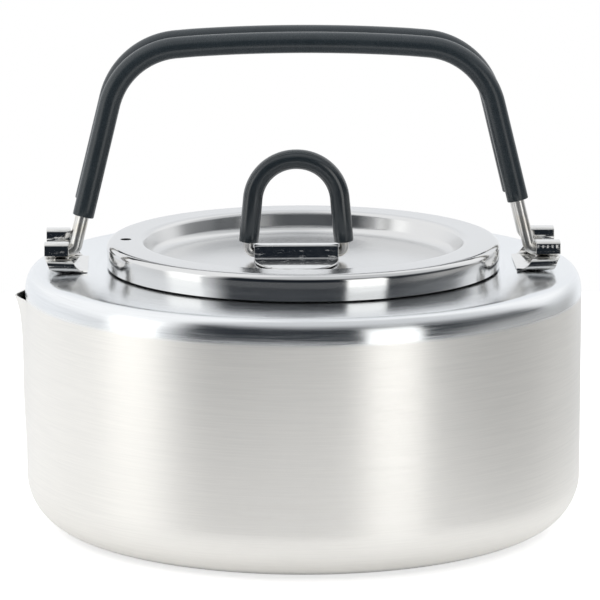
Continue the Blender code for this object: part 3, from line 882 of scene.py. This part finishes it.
# %% Bail sizes, in millimetres
BAIL_Y = 10.6
BAIL_AXIS_Z = 75.7
BAIL_LEAN = math.radians(3.97)
BAIL_WIRE_R = 1.6
BAIL_SLEEVE_R = 2.85
BAIL_FOOT = 60.8
BAIL_TAIL_END = 66.4
BAIL_TAIL = BAIL_TAIL_END - BAIL_FOOT
BAIL_CORNER = 47.9
BAIL_CORNER_UP = 53.0
BAIL_TOP_UP = 55.55
BAIL_CORNER_ROUND = 20.0
BAIL_BEND = 2.2
BAIL_CHAMFER = 0.25


def bail_path():
    bow = BAIL_TOP_UP - BAIL_CORNER_UP
    crown = []
    for k in range(-8, 9):
        across = BAIL_CORNER * 0.6 * k / 8
        crown.append((across, BAIL_CORNER_UP + bow * (1.0 - (across / BAIL_CORNER) ** 2)))
    left = [(-BAIL_TAIL_END, 0.0), (-BAIL_FOOT, 0.0), (-BAIL_CORNER, BAIL_CORNER_UP)]
    right = [(-x, z) for x, z in reversed(left)]
    radii = [BAIL_BEND, BAIL_CORNER_ROUND] + [0.0] * len(crown) + [BAIL_CORNER_ROUND, BAIL_BEND]
    return fillet_path(left + crown + right, radii, 3.0)


def tail_length(foot, corner, up, bend, tail, outward):
    """Length along the path from the tail's tip to where the leg runs straight."""
    turn = math.pi / 2.0 - outward * math.atan2(foot - corner, up)
    return tail - bend * math.tan(turn / 2.0) + bend * turn


# %% Build the bails


def build_bail(name, sign, shift, sleeve_left, sleeve_right):
    lean_y = -sign * math.sin(BAIL_LEAN)
    lean_z = math.cos(BAIL_LEAN)

    def to_space(across, up, out):
        return (shift + across, sign * BAIL_Y + up * lean_y + out * lean_z,
                BAIL_AXIS_Z + up * lean_z - out * lean_y)

    tail = tail_length(BAIL_FOOT, BAIL_CORNER, BAIL_CORNER_UP, BAIL_BEND, BAIL_TAIL, 1.0) - BAIL_BEND
    wire_and_sleeve(name, name, bail_path(), (tail + sleeve_left, tail + sleeve_right),
                    BAIL_WIRE_R, BAIL_SLEEVE_R, BAIL_CHAMFER, to_space, bail_steel, sleeve_rubber)


build_bail("front_bail", -1, shift=-0.5, sleeve_left=10.1, sleeve_right=14.0)
build_bail("rear_bail", 1, shift=-0.55, sleeve_left=11.2, sleeve_right=13.6)

# %% [markdown]
# The lid ring
#
# The ring is a smaller wire bent to an arch, sleeved like the bails, with its two tails turned
# inward under the clip. It stands up here and folds down to the front or to the rear.

# %% Build the lid ring
RING_X = -1.9
RING_WIRE_R = 1.25
RING_SLEEVE_R = 2.65
RING_SEAT = 0.45
RING_SLEEVE_START = 2.8
RING_FOOT = 13.1
RING_TOP = 10.7
RING_HEIGHT = 25.45
RING_CORNER = 11.6
RING_BEND = 1.7
RING_TAIL = 6.0
RING_CHAMFER = 0.2
CLIP_Z = DISH_FLOOR + 0.3
RING_AXIS_Z = CLIP_Z + RING_SEAT + RING_WIRE_R


def build_ring():
    def to_space(across, up, out):
        return RING_X + across, out, RING_AXIS_Z + up

    tip = RING_FOOT - RING_TAIL
    corners = [(-tip, 0.0), (-RING_FOOT, 0.0), (-RING_TOP, RING_HEIGHT),
               (RING_TOP, RING_HEIGHT), (RING_FOOT, 0.0), (tip, 0.0)]
    path = fillet_path(corners, [RING_BEND, RING_CORNER, RING_CORNER, RING_BEND], 4.0)
    tail = tail_length(RING_FOOT, RING_TOP, RING_HEIGHT, RING_BEND, RING_TAIL, -1.0) - RING_BEND
    cut = tail + RING_SLEEVE_START
    wire_and_sleeve("ring", "lid_ring", path, (cut, cut),
                    RING_WIRE_R, RING_SLEEVE_R, RING_CHAMFER, to_space, ring_steel, ring_rubber)


build_ring()

# %% [markdown]
# Strips of bent sheet
#
# The brackets and the clip are blanked from thin sheet and bent round a pin. A strip has a path
# seen from its end, a width at each point of the path, and a thickness. Blanked sheet has
# slightly rounded edges, and those edges are the bright threads of light in the photograph, so
# the strip's section is a rounded rectangle and not a plain one.

# %% A strip of sheet
STRIP_EDGE_ROUND = 0.13


def bend_strip(bm, path, widths, thickness, falls=None):
    """A strip whose path lies in the plane of y and z and whose width lies along x."""
    path = [Vector(point) for point in path]
    rows = []
    for i, here in enumerate(path):
        along = heading(path, i)
        side = Vector((-along.y, along.x))
        low, high = widths[i]
        fall = falls[i] if falls else 0.0
        left = low + STRIP_EDGE_ROUND
        right = high - STRIP_EDGE_ROUND
        deep = thickness / 2.0 - STRIP_EDGE_ROUND
        outline = []
        for centre, start in (((right, deep), 0), ((left, deep), 90),
                              ((left, -deep), 180), ((right, -deep), 270)):
            outline += arc(centre, STRIP_EDGE_ROUND, start, start + 90, 3)
        row = []
        for x, t in outline:
            share = (x - low) / (high - low)
            lift = -abs(fall) * (high - low) * ((1.0 - share) if fall < 0 else share)
            row.append(bm.verts.new((x, here.x + side.x * t, here.y + side.y * t + lift)))
        rows.append(row)
    for row, after in zip(rows, rows[1:]):
        join_rings(bm, row, after)
    bm.faces.new(rows[0])
    bm.faces.new(rows[-1])


# %% [markdown]
# The brackets
#
# One bracket sits on each side of the shoulder. From a plate that is spot welded down, the
# sheet folds back over itself in a hairpin, first in front and then behind, and each end rolls
# up round a bail's tail. The plate follows the fall of the shoulder and the rolls stay level,
# so the strip widens and levels out on its way through the hairpin.

# %% Bracket sizes, in millimetres
BRACKET_SHEET = 0.5
BRACKET_X = -0.5
PLATE_IN = 57.4
PLATE_OUT = 66.4
ROLL_IN = 62.4
ROLL_OUT = 68.9
HAIRPIN_OUT = 0.3
HAIRPIN_START = 0.25
ROLL_LEAN = math.radians(12)
ROLL_END_BELOW = 0.9
ROLL_FOOT_ROUND = 2.1
ROLL_TOP_ROUND = 0.9


def bracket_half():
    """Plate, hairpin and roll of the half at +y, as (y, z)."""
    middle = CREST_Z + CLEAR + BRACKET_SHEET / 2.0
    roll_r = BAIL_WIRE_R + CLEAR + BRACKET_SHEET / 2.0
    roll_foot = BAIL_AXIS_Z - roll_r
    fold_r = (roll_foot - middle) / 2.0
    start = BAIL_Y + HAIRPIN_OUT
    fold = arc((start, middle + fold_r), fold_r, -90, 90, 16)
    # the roll is a little square, narrower at the top, and its sides just clear the wire
    lean_sin = math.sin(ROLL_LEAN)
    lean_cos = math.cos(ROLL_LEAN)
    foot_half = roll_r * (1.0 + lean_sin) / lean_cos
    top_half = roll_r * (1.0 - lean_sin) / lean_cos
    end_half = (roll_r + ROLL_END_BELOW * lean_sin) / lean_cos
    top = BAIL_AXIS_Z + roll_r
    corners = [(start, roll_foot), (BAIL_Y - foot_half, roll_foot), (BAIL_Y - top_half, top),
               (BAIL_Y + top_half, top), (BAIL_Y + end_half, BAIL_AXIS_Z - ROLL_END_BELOW)]
    bent = fillet_path(corners, [ROLL_FOOT_ROUND, ROLL_TOP_ROUND, ROLL_TOP_ROUND], 8.0)
    roll = [(point.x, point.y) for point in bent[1:]]
    flat = [(BAIL_Y * share, middle) for share in (0.25, 0.5, 0.75, 1.0)]
    return flat, fold, roll


# %% Build the brackets


def build_bracket(side, sign):
    """The strip from the end of the front roll, along the plate, to the end of the rear roll."""
    flat, fold, roll = bracket_half()
    half = flat + fold + roll
    # 0 where the strip is as wide as the plate, and 1 where it is as wide as the rolls
    shares = [0.0] * len(flat)
    shares += [HAIRPIN_START + (1.0 - HAIRPIN_START) * k / (len(fold) - 1) for k in range(len(fold))]
    shares += [1.0] * len(roll)

    def width_at(share):
        low = PLATE_IN + (ROLL_IN - PLATE_IN) * share + sign * BRACKET_X
        high = PLATE_OUT + (ROLL_OUT - PLATE_OUT) * share + sign * BRACKET_X
        return (low, high) if sign > 0 else (-high, -low)

    path = [(-y, z) for y, z in reversed(half)] + half
    shares = shares[::-1] + shares
    widths = [width_at(share) for share in shares]
    falls = [-sign * math.tan(SHOULDER_FALL) * (1.0 - share) for share in shares]
    bm = bmesh.new()
    bend_strip(bm, path, widths, BRACKET_SHEET, falls)
    finish_piece(side + "_bracket_sheet", bm, "kettle", side + "_bracket",
                 bracket_steel, 40)


build_bracket("left", -1)
build_bracket("right", 1)

# %% [markdown]
# The lid clip
#
# The clip is one strip: a tongue that lies flat to the front, a tunnel over the ring's tails,
# and a short tab behind. The tongue's end is a wide soft curve. Its bright rounded edge and the
# dark reflection of the tunnel in it are what the eye reads as a small black mouth.

# %% Clip sizes, in millimetres
CLIP_SHEET = 0.45
CLIP_HALF = 11.35
CLIP_FRONT = 18.2
CLIP_BACK = 6.0
CLIP_LEAN = math.radians(8.5)
CLIP_HEADROOM = 0.65
CLIP_FOOT_BEND = 0.5
CLIP_TOP_BEND = 0.4
TONGUE_SPRING = 0.05
TONGUE_STEPS = 32
TONGUE_CURVE = 2.2
TAB_STEPS = 12
TAB_TAPER = 0.35


def clip_path():
    """The strip seen from its end: flat tongue, leaning front, narrow top, leaning back, tab."""
    middle = CLIP_Z + CLIP_SHEET / 2.0
    cover = RING_WIRE_R + CLEAR + CLIP_SHEET / 2.0
    top = RING_AXIS_Z + RING_WIRE_R + CLIP_HEADROOM + CLIP_SHEET / 2.0
    foot = (cover + (RING_AXIS_Z - middle) * math.sin(CLIP_LEAN)) / math.cos(CLIP_LEAN)
    crown = (cover - (top - RING_AXIS_Z) * math.sin(CLIP_LEAN)) / math.cos(CLIP_LEAN)
    corners = [(-CLIP_FRONT, middle), (-foot, middle), (-crown, top), (crown, top), (foot, middle),
               (CLIP_BACK, middle)]
    bends = [CLIP_FOOT_BEND, CLIP_TOP_BEND, CLIP_TOP_BEND, CLIP_FOOT_BEND]
    bent = fillet_path(corners, bends, 8.0)
    reach = -bent[1].x
    path = []
    for k in range(TONGUE_STEPS):
        # the points gather behind, and the tongue springs up a little toward its tip
        back = math.sin(k / TONGUE_STEPS * math.pi / 2.0)
        lift = TONGUE_SPRING * (1.0 - back)
        path.append((-CLIP_FRONT + (CLIP_FRONT - reach) * back, middle + lift))
    path += [(point.x, point.y) for point in bent[1:-1]]
    for k in range(1, TAB_STEPS + 1):
        path.append((reach + (CLIP_BACK - reach) * k / TAB_STEPS, middle))
    return path, reach


def clip_half_width(y, reach):
    if y < -reach:
        share = min((-y - reach) / (CLIP_FRONT - reach), 0.9985)
        return CLIP_HALF * (1.0 - share ** TONGUE_CURVE) ** 0.5
    if y > reach:
        return CLIP_HALF * (1.0 - TAB_TAPER * ((y - reach) / (CLIP_BACK - reach)) ** 2)
    return CLIP_HALF


# %% Build the lid clip


def build_clip():
    path, reach = clip_path()
    halves = [clip_half_width(y, reach) for y, z in path]
    bm = bmesh.new()
    bend_strip(bm, path, [(RING_X - half, RING_X + half) for half in halves], CLIP_SHEET)
    finish_piece("clip_sheet", bm, "lid", "lid_clip", clip_steel, 40)


build_clip()

# %% [markdown]
# The studio
#
# Polished steel has almost no colour of its own. What is seen in it is the studio: a pale
# backdrop behind and to the left, a soft ceiling, a darker room behind the camera, one tall
# strip of light on the right and a window on the left. The far surroundings are painted into
# the world by direction, so that they never stand in the way when the kettle is looked at from
# another side. The camera itself sees plain white behind the kettle.
#
# The table is a pale disc that catches the kettle's shadow. A glow that only the camera sees
# lets it melt into the white behind it. The steel sees half of that glow, less of it on the
# left, and none of it on the right, where a painted shadow also darkens the table's colour.

# %% Table, with lengths in millimetres
TABLE_R = 330.0
TABLE_DROP = 0.1
TABLE_SIDES = 96
TABLE_DULL = (0.87, 0.87, 0.87)
TABLE_PALE = (0.90, 0.90, 0.90)
TABLE_SHADED = (0.60, 0.60, 0.60)
TABLE_GLOW = (0.60, 0.60, 0.60)
BLACK = (0.0, 0.0, 0.0)
MIRRORED_GLOW = 0.5


def table_finish():
    finish = Finish("table_white", Roughness=0.75, Metallic=0.0, Emission_Strength=1.0)
    x, y, z = finish.place()
    soft = finish.grain(x / 60.0, y / 60.0, z, 3.0)
    eye = finish.node("ShaderNodeLightPath", None, None, "Is Camera Ray")
    glossy = eye.also("Is Glossy Ray")
    right = finish.ease(x, 60.0, 160.0) * finish.ease(y, -210.0, -50.0)
    left = finish.ease(-x, 20.0, 120.0)
    paint = finish.mix(TABLE_DULL, TABLE_PALE, soft)
    # on the right the steel sees a painted shadow of the kettle on the table
    finish.feed("Base Color", finish.mix(paint, TABLE_SHADED, glossy * right))
    mirrored = glossy * (MIRRORED_GLOW - right * MIRRORED_GLOW - left * 0.34)
    finish.feed("Emission Color", finish.mix(BLACK, TABLE_GLOW, eye + mirrored))
    return finish.material


def build_table():
    bm = bmesh.new()
    rings = []
    angles = [2.0 * math.pi * k / TABLE_SIDES for k in range(TABLE_SIDES)]
    for radius in (60.0, 100.0, 160.0, 240.0, TABLE_R):
        rings.append([bm.verts.new((radius * math.cos(angle), radius * math.sin(angle), -TABLE_DROP))
                      for angle in angles])
    join_rings(bm, rings[0], [bm.verts.new((0.0, 0.0, -TABLE_DROP))])
    for ring, after in zip(rings, rings[1:]):
        join_rings(bm, ring, after)
    bmesh.ops.scale(bm, vec=(MM, MM, MM), verts=bm.verts)
    bmesh.ops.recalc_face_normals(bm, faces=bm.faces)
    if bm.faces[:][0].normal.z < 0:
        bmesh.ops.reverse_faces(bm, faces=bm.faces)
    mesh = bpy.data.meshes.new("table_top")
    bm.to_mesh(mesh)
    bm.free()
    mesh.materials.append(table_finish())
    table = bpy.data.objects.new("table_top", mesh)
    bpy.context.scene.collection.objects.link(table)


build_table()

# %% [markdown]
# The room is painted with two angles. The bearing is 0 toward the camera, 90 to the right, -90
# to the left and 180 behind the kettle. The rise is 0 on the horizon and 90 overhead. First
# comes the dark part behind the camera, then the ceiling over it, whose edge comes down on the
# right, then the backdrop, and last the strip of light and the window.

# %% Colours of the room
DARK_FRONT = (0.014, 0.018, 0.024)
DARK_RIGHT = (0.07, 0.075, 0.08)
DARK_LOW = (0.11, 0.115, 0.12)
FLOOR_RIGHT = (0.42, 0.42, 0.415)
CEILING_FRONT = (0.69, 0.70, 0.71)
CEILING_RIGHT = (1.08, 1.08, 1.08)
BACKDROP_LEFT = (0.78, 0.79, 0.80)
BACKDROP_BEHIND = (0.91, 0.925, 0.945)
BACKDROP_UPPER = (1.05, 1.05, 1.05)
LAMP_LIGHT = (1.5, 1.5, 1.47)
WHITE = (1.0, 1.0, 1.0)

# %% The room round the kettle, with angles in degrees
DEGREES = 180.0 / math.pi
CEILING_EDGE = 42.5
CEILING_EDGE_FALL = 33.0
CEILING_EDGE_STEP = 12.0
CEILING_SOFT = 13.0


def paint_room():
    """What the steel sees in each direction."""
    world = bpy.data.worlds.new("studio_room")
    bpy.context.scene.world = world
    world.use_nodes = True
    room = Graph(world.node_tree)
    room.tree.nodes.clear()
    spot = room.node("ShaderNodeTexCoord", None, None, "Generated")
    side = room.node("ShaderNodeSeparateXYZ", None, {0: spot})
    behind = side.also("Y")
    bearing = side.sum("ARCTAN2", side, -behind) * DEGREES
    rise = side.sum("ARCSINE", side.also("Z")) * DEGREES

    # the dark part, which is less dark to the right and low down
    dark = room.mix(DARK_FRONT, DARK_RIGHT, room.ease(bearing, 45.0, 90.0))
    dark = room.mix(dark, DARK_LOW, 1.0 - room.ease(rise, -12.0, 6.0))
    floor = room.ease(bearing, 48.0, 90.0) * (1.0 - room.ease(rise, -3.0, 7.0))
    dark = room.mix(dark, FLOOR_RIGHT, floor)

    # the ceiling, with an edge that is lower and crisper to the right
    turned = room.ease(bearing, 10.0, 125.0, "LINEAR")
    step = room.ease(bearing, 98.0, 120.0)
    edge = CEILING_EDGE - turned ** 1.5 * CEILING_EDGE_FALL - step * CEILING_EDGE_STEP
    crisp = 1.0 + room.ease(bearing, 60.0, 105.0) * 1.2
    ceiling = room.ease((rise - edge) * crisp, -CEILING_SOFT, CEILING_SOFT)
    lit = room.ease(bearing, 85.0, 125.0) * room.ease(rise, 0.0, 18.0)
    upper = room.mix(dark, room.mix(CEILING_FRONT, CEILING_RIGHT, lit), ceiling)

    # the backdrop, which is brightest high up on the left
    backdrop = room.ease(-bearing, 44.0, 64.0) + room.ease(bearing, 132.0, 158.0)
    level = room.mix(BACKDROP_LEFT, BACKDROP_BEHIND, room.ease(behind, -0.1, 0.8))
    bright = room.ease(-bearing, 20.0, 60.0) * room.ease(bearing, -175.0, -130.0)
    pale = room.mix(level, BACKDROP_UPPER, room.ease(rise, 0.0, 14.0) * bright)
    seen = room.mix(upper, pale, backdrop)

    # the strip of light on the right and the window on the left
    strip = room.span(bearing, 22.5, 25.0, 46.5, 49.0)
    window = room.span(-bearing, 61.0, 65.0, 82.0, 92.0)
    lamps = (strip + window) * (1.0 - room.ease(rise, 16.0, 36.0))
    seen = room.mix(seen, LAMP_LIGHT, lamps)

    steel = room.node("ShaderNodeBackground", None, {"Color": seen, "Strength": 1.0})
    unshaded = room.node("ShaderNodeBackground", None, {"Color": WHITE, "Strength": 1.0})
    eye = room.node("ShaderNodeLightPath", None, None, "Is Camera Ray")
    both = room.node("ShaderNodeMixShader", None, {0: eye, 1: steel, 2: unshaded})
    last = room.tree.nodes.new("ShaderNodeOutputWorld")
    room.tree.links.new(both.socket, last.inputs["Surface"])
    print("room:", len(room.tree.nodes), "nodes")


paint_room()

# %% [markdown]
# Lamp
#
# The tall strip on the right, which makes the crisp bright bar on the wall, and the window on
# the left are painted into the room above. One large soft panel hangs overhead. It gives the
# table its light and the kettle its faint shadow, and it isn't mirrored in the steel.

# %% Hang the lamp, with lengths in metres
PANEL_UP = 1.36
PANEL_SIDE = 1.4
PANEL_WATTS = 6.0


def hang_panel():
    """A square lamp panel above the kettle, facing down."""
    data = bpy.data.lights.new("ceiling_panel", "AREA")
    data.shape = "SQUARE"
    data.size = PANEL_SIDE
    data.energy = PANEL_WATTS
    lamp = bpy.data.objects.new("ceiling_panel", data)
    lamp.location = (0.0, 0.0, PANEL_UP)
    lamp.visible_glossy = False
    bpy.context.scene.collection.objects.link(lamp)
    print("lamp:", lamp.name, data.energy, "W")


hang_panel()
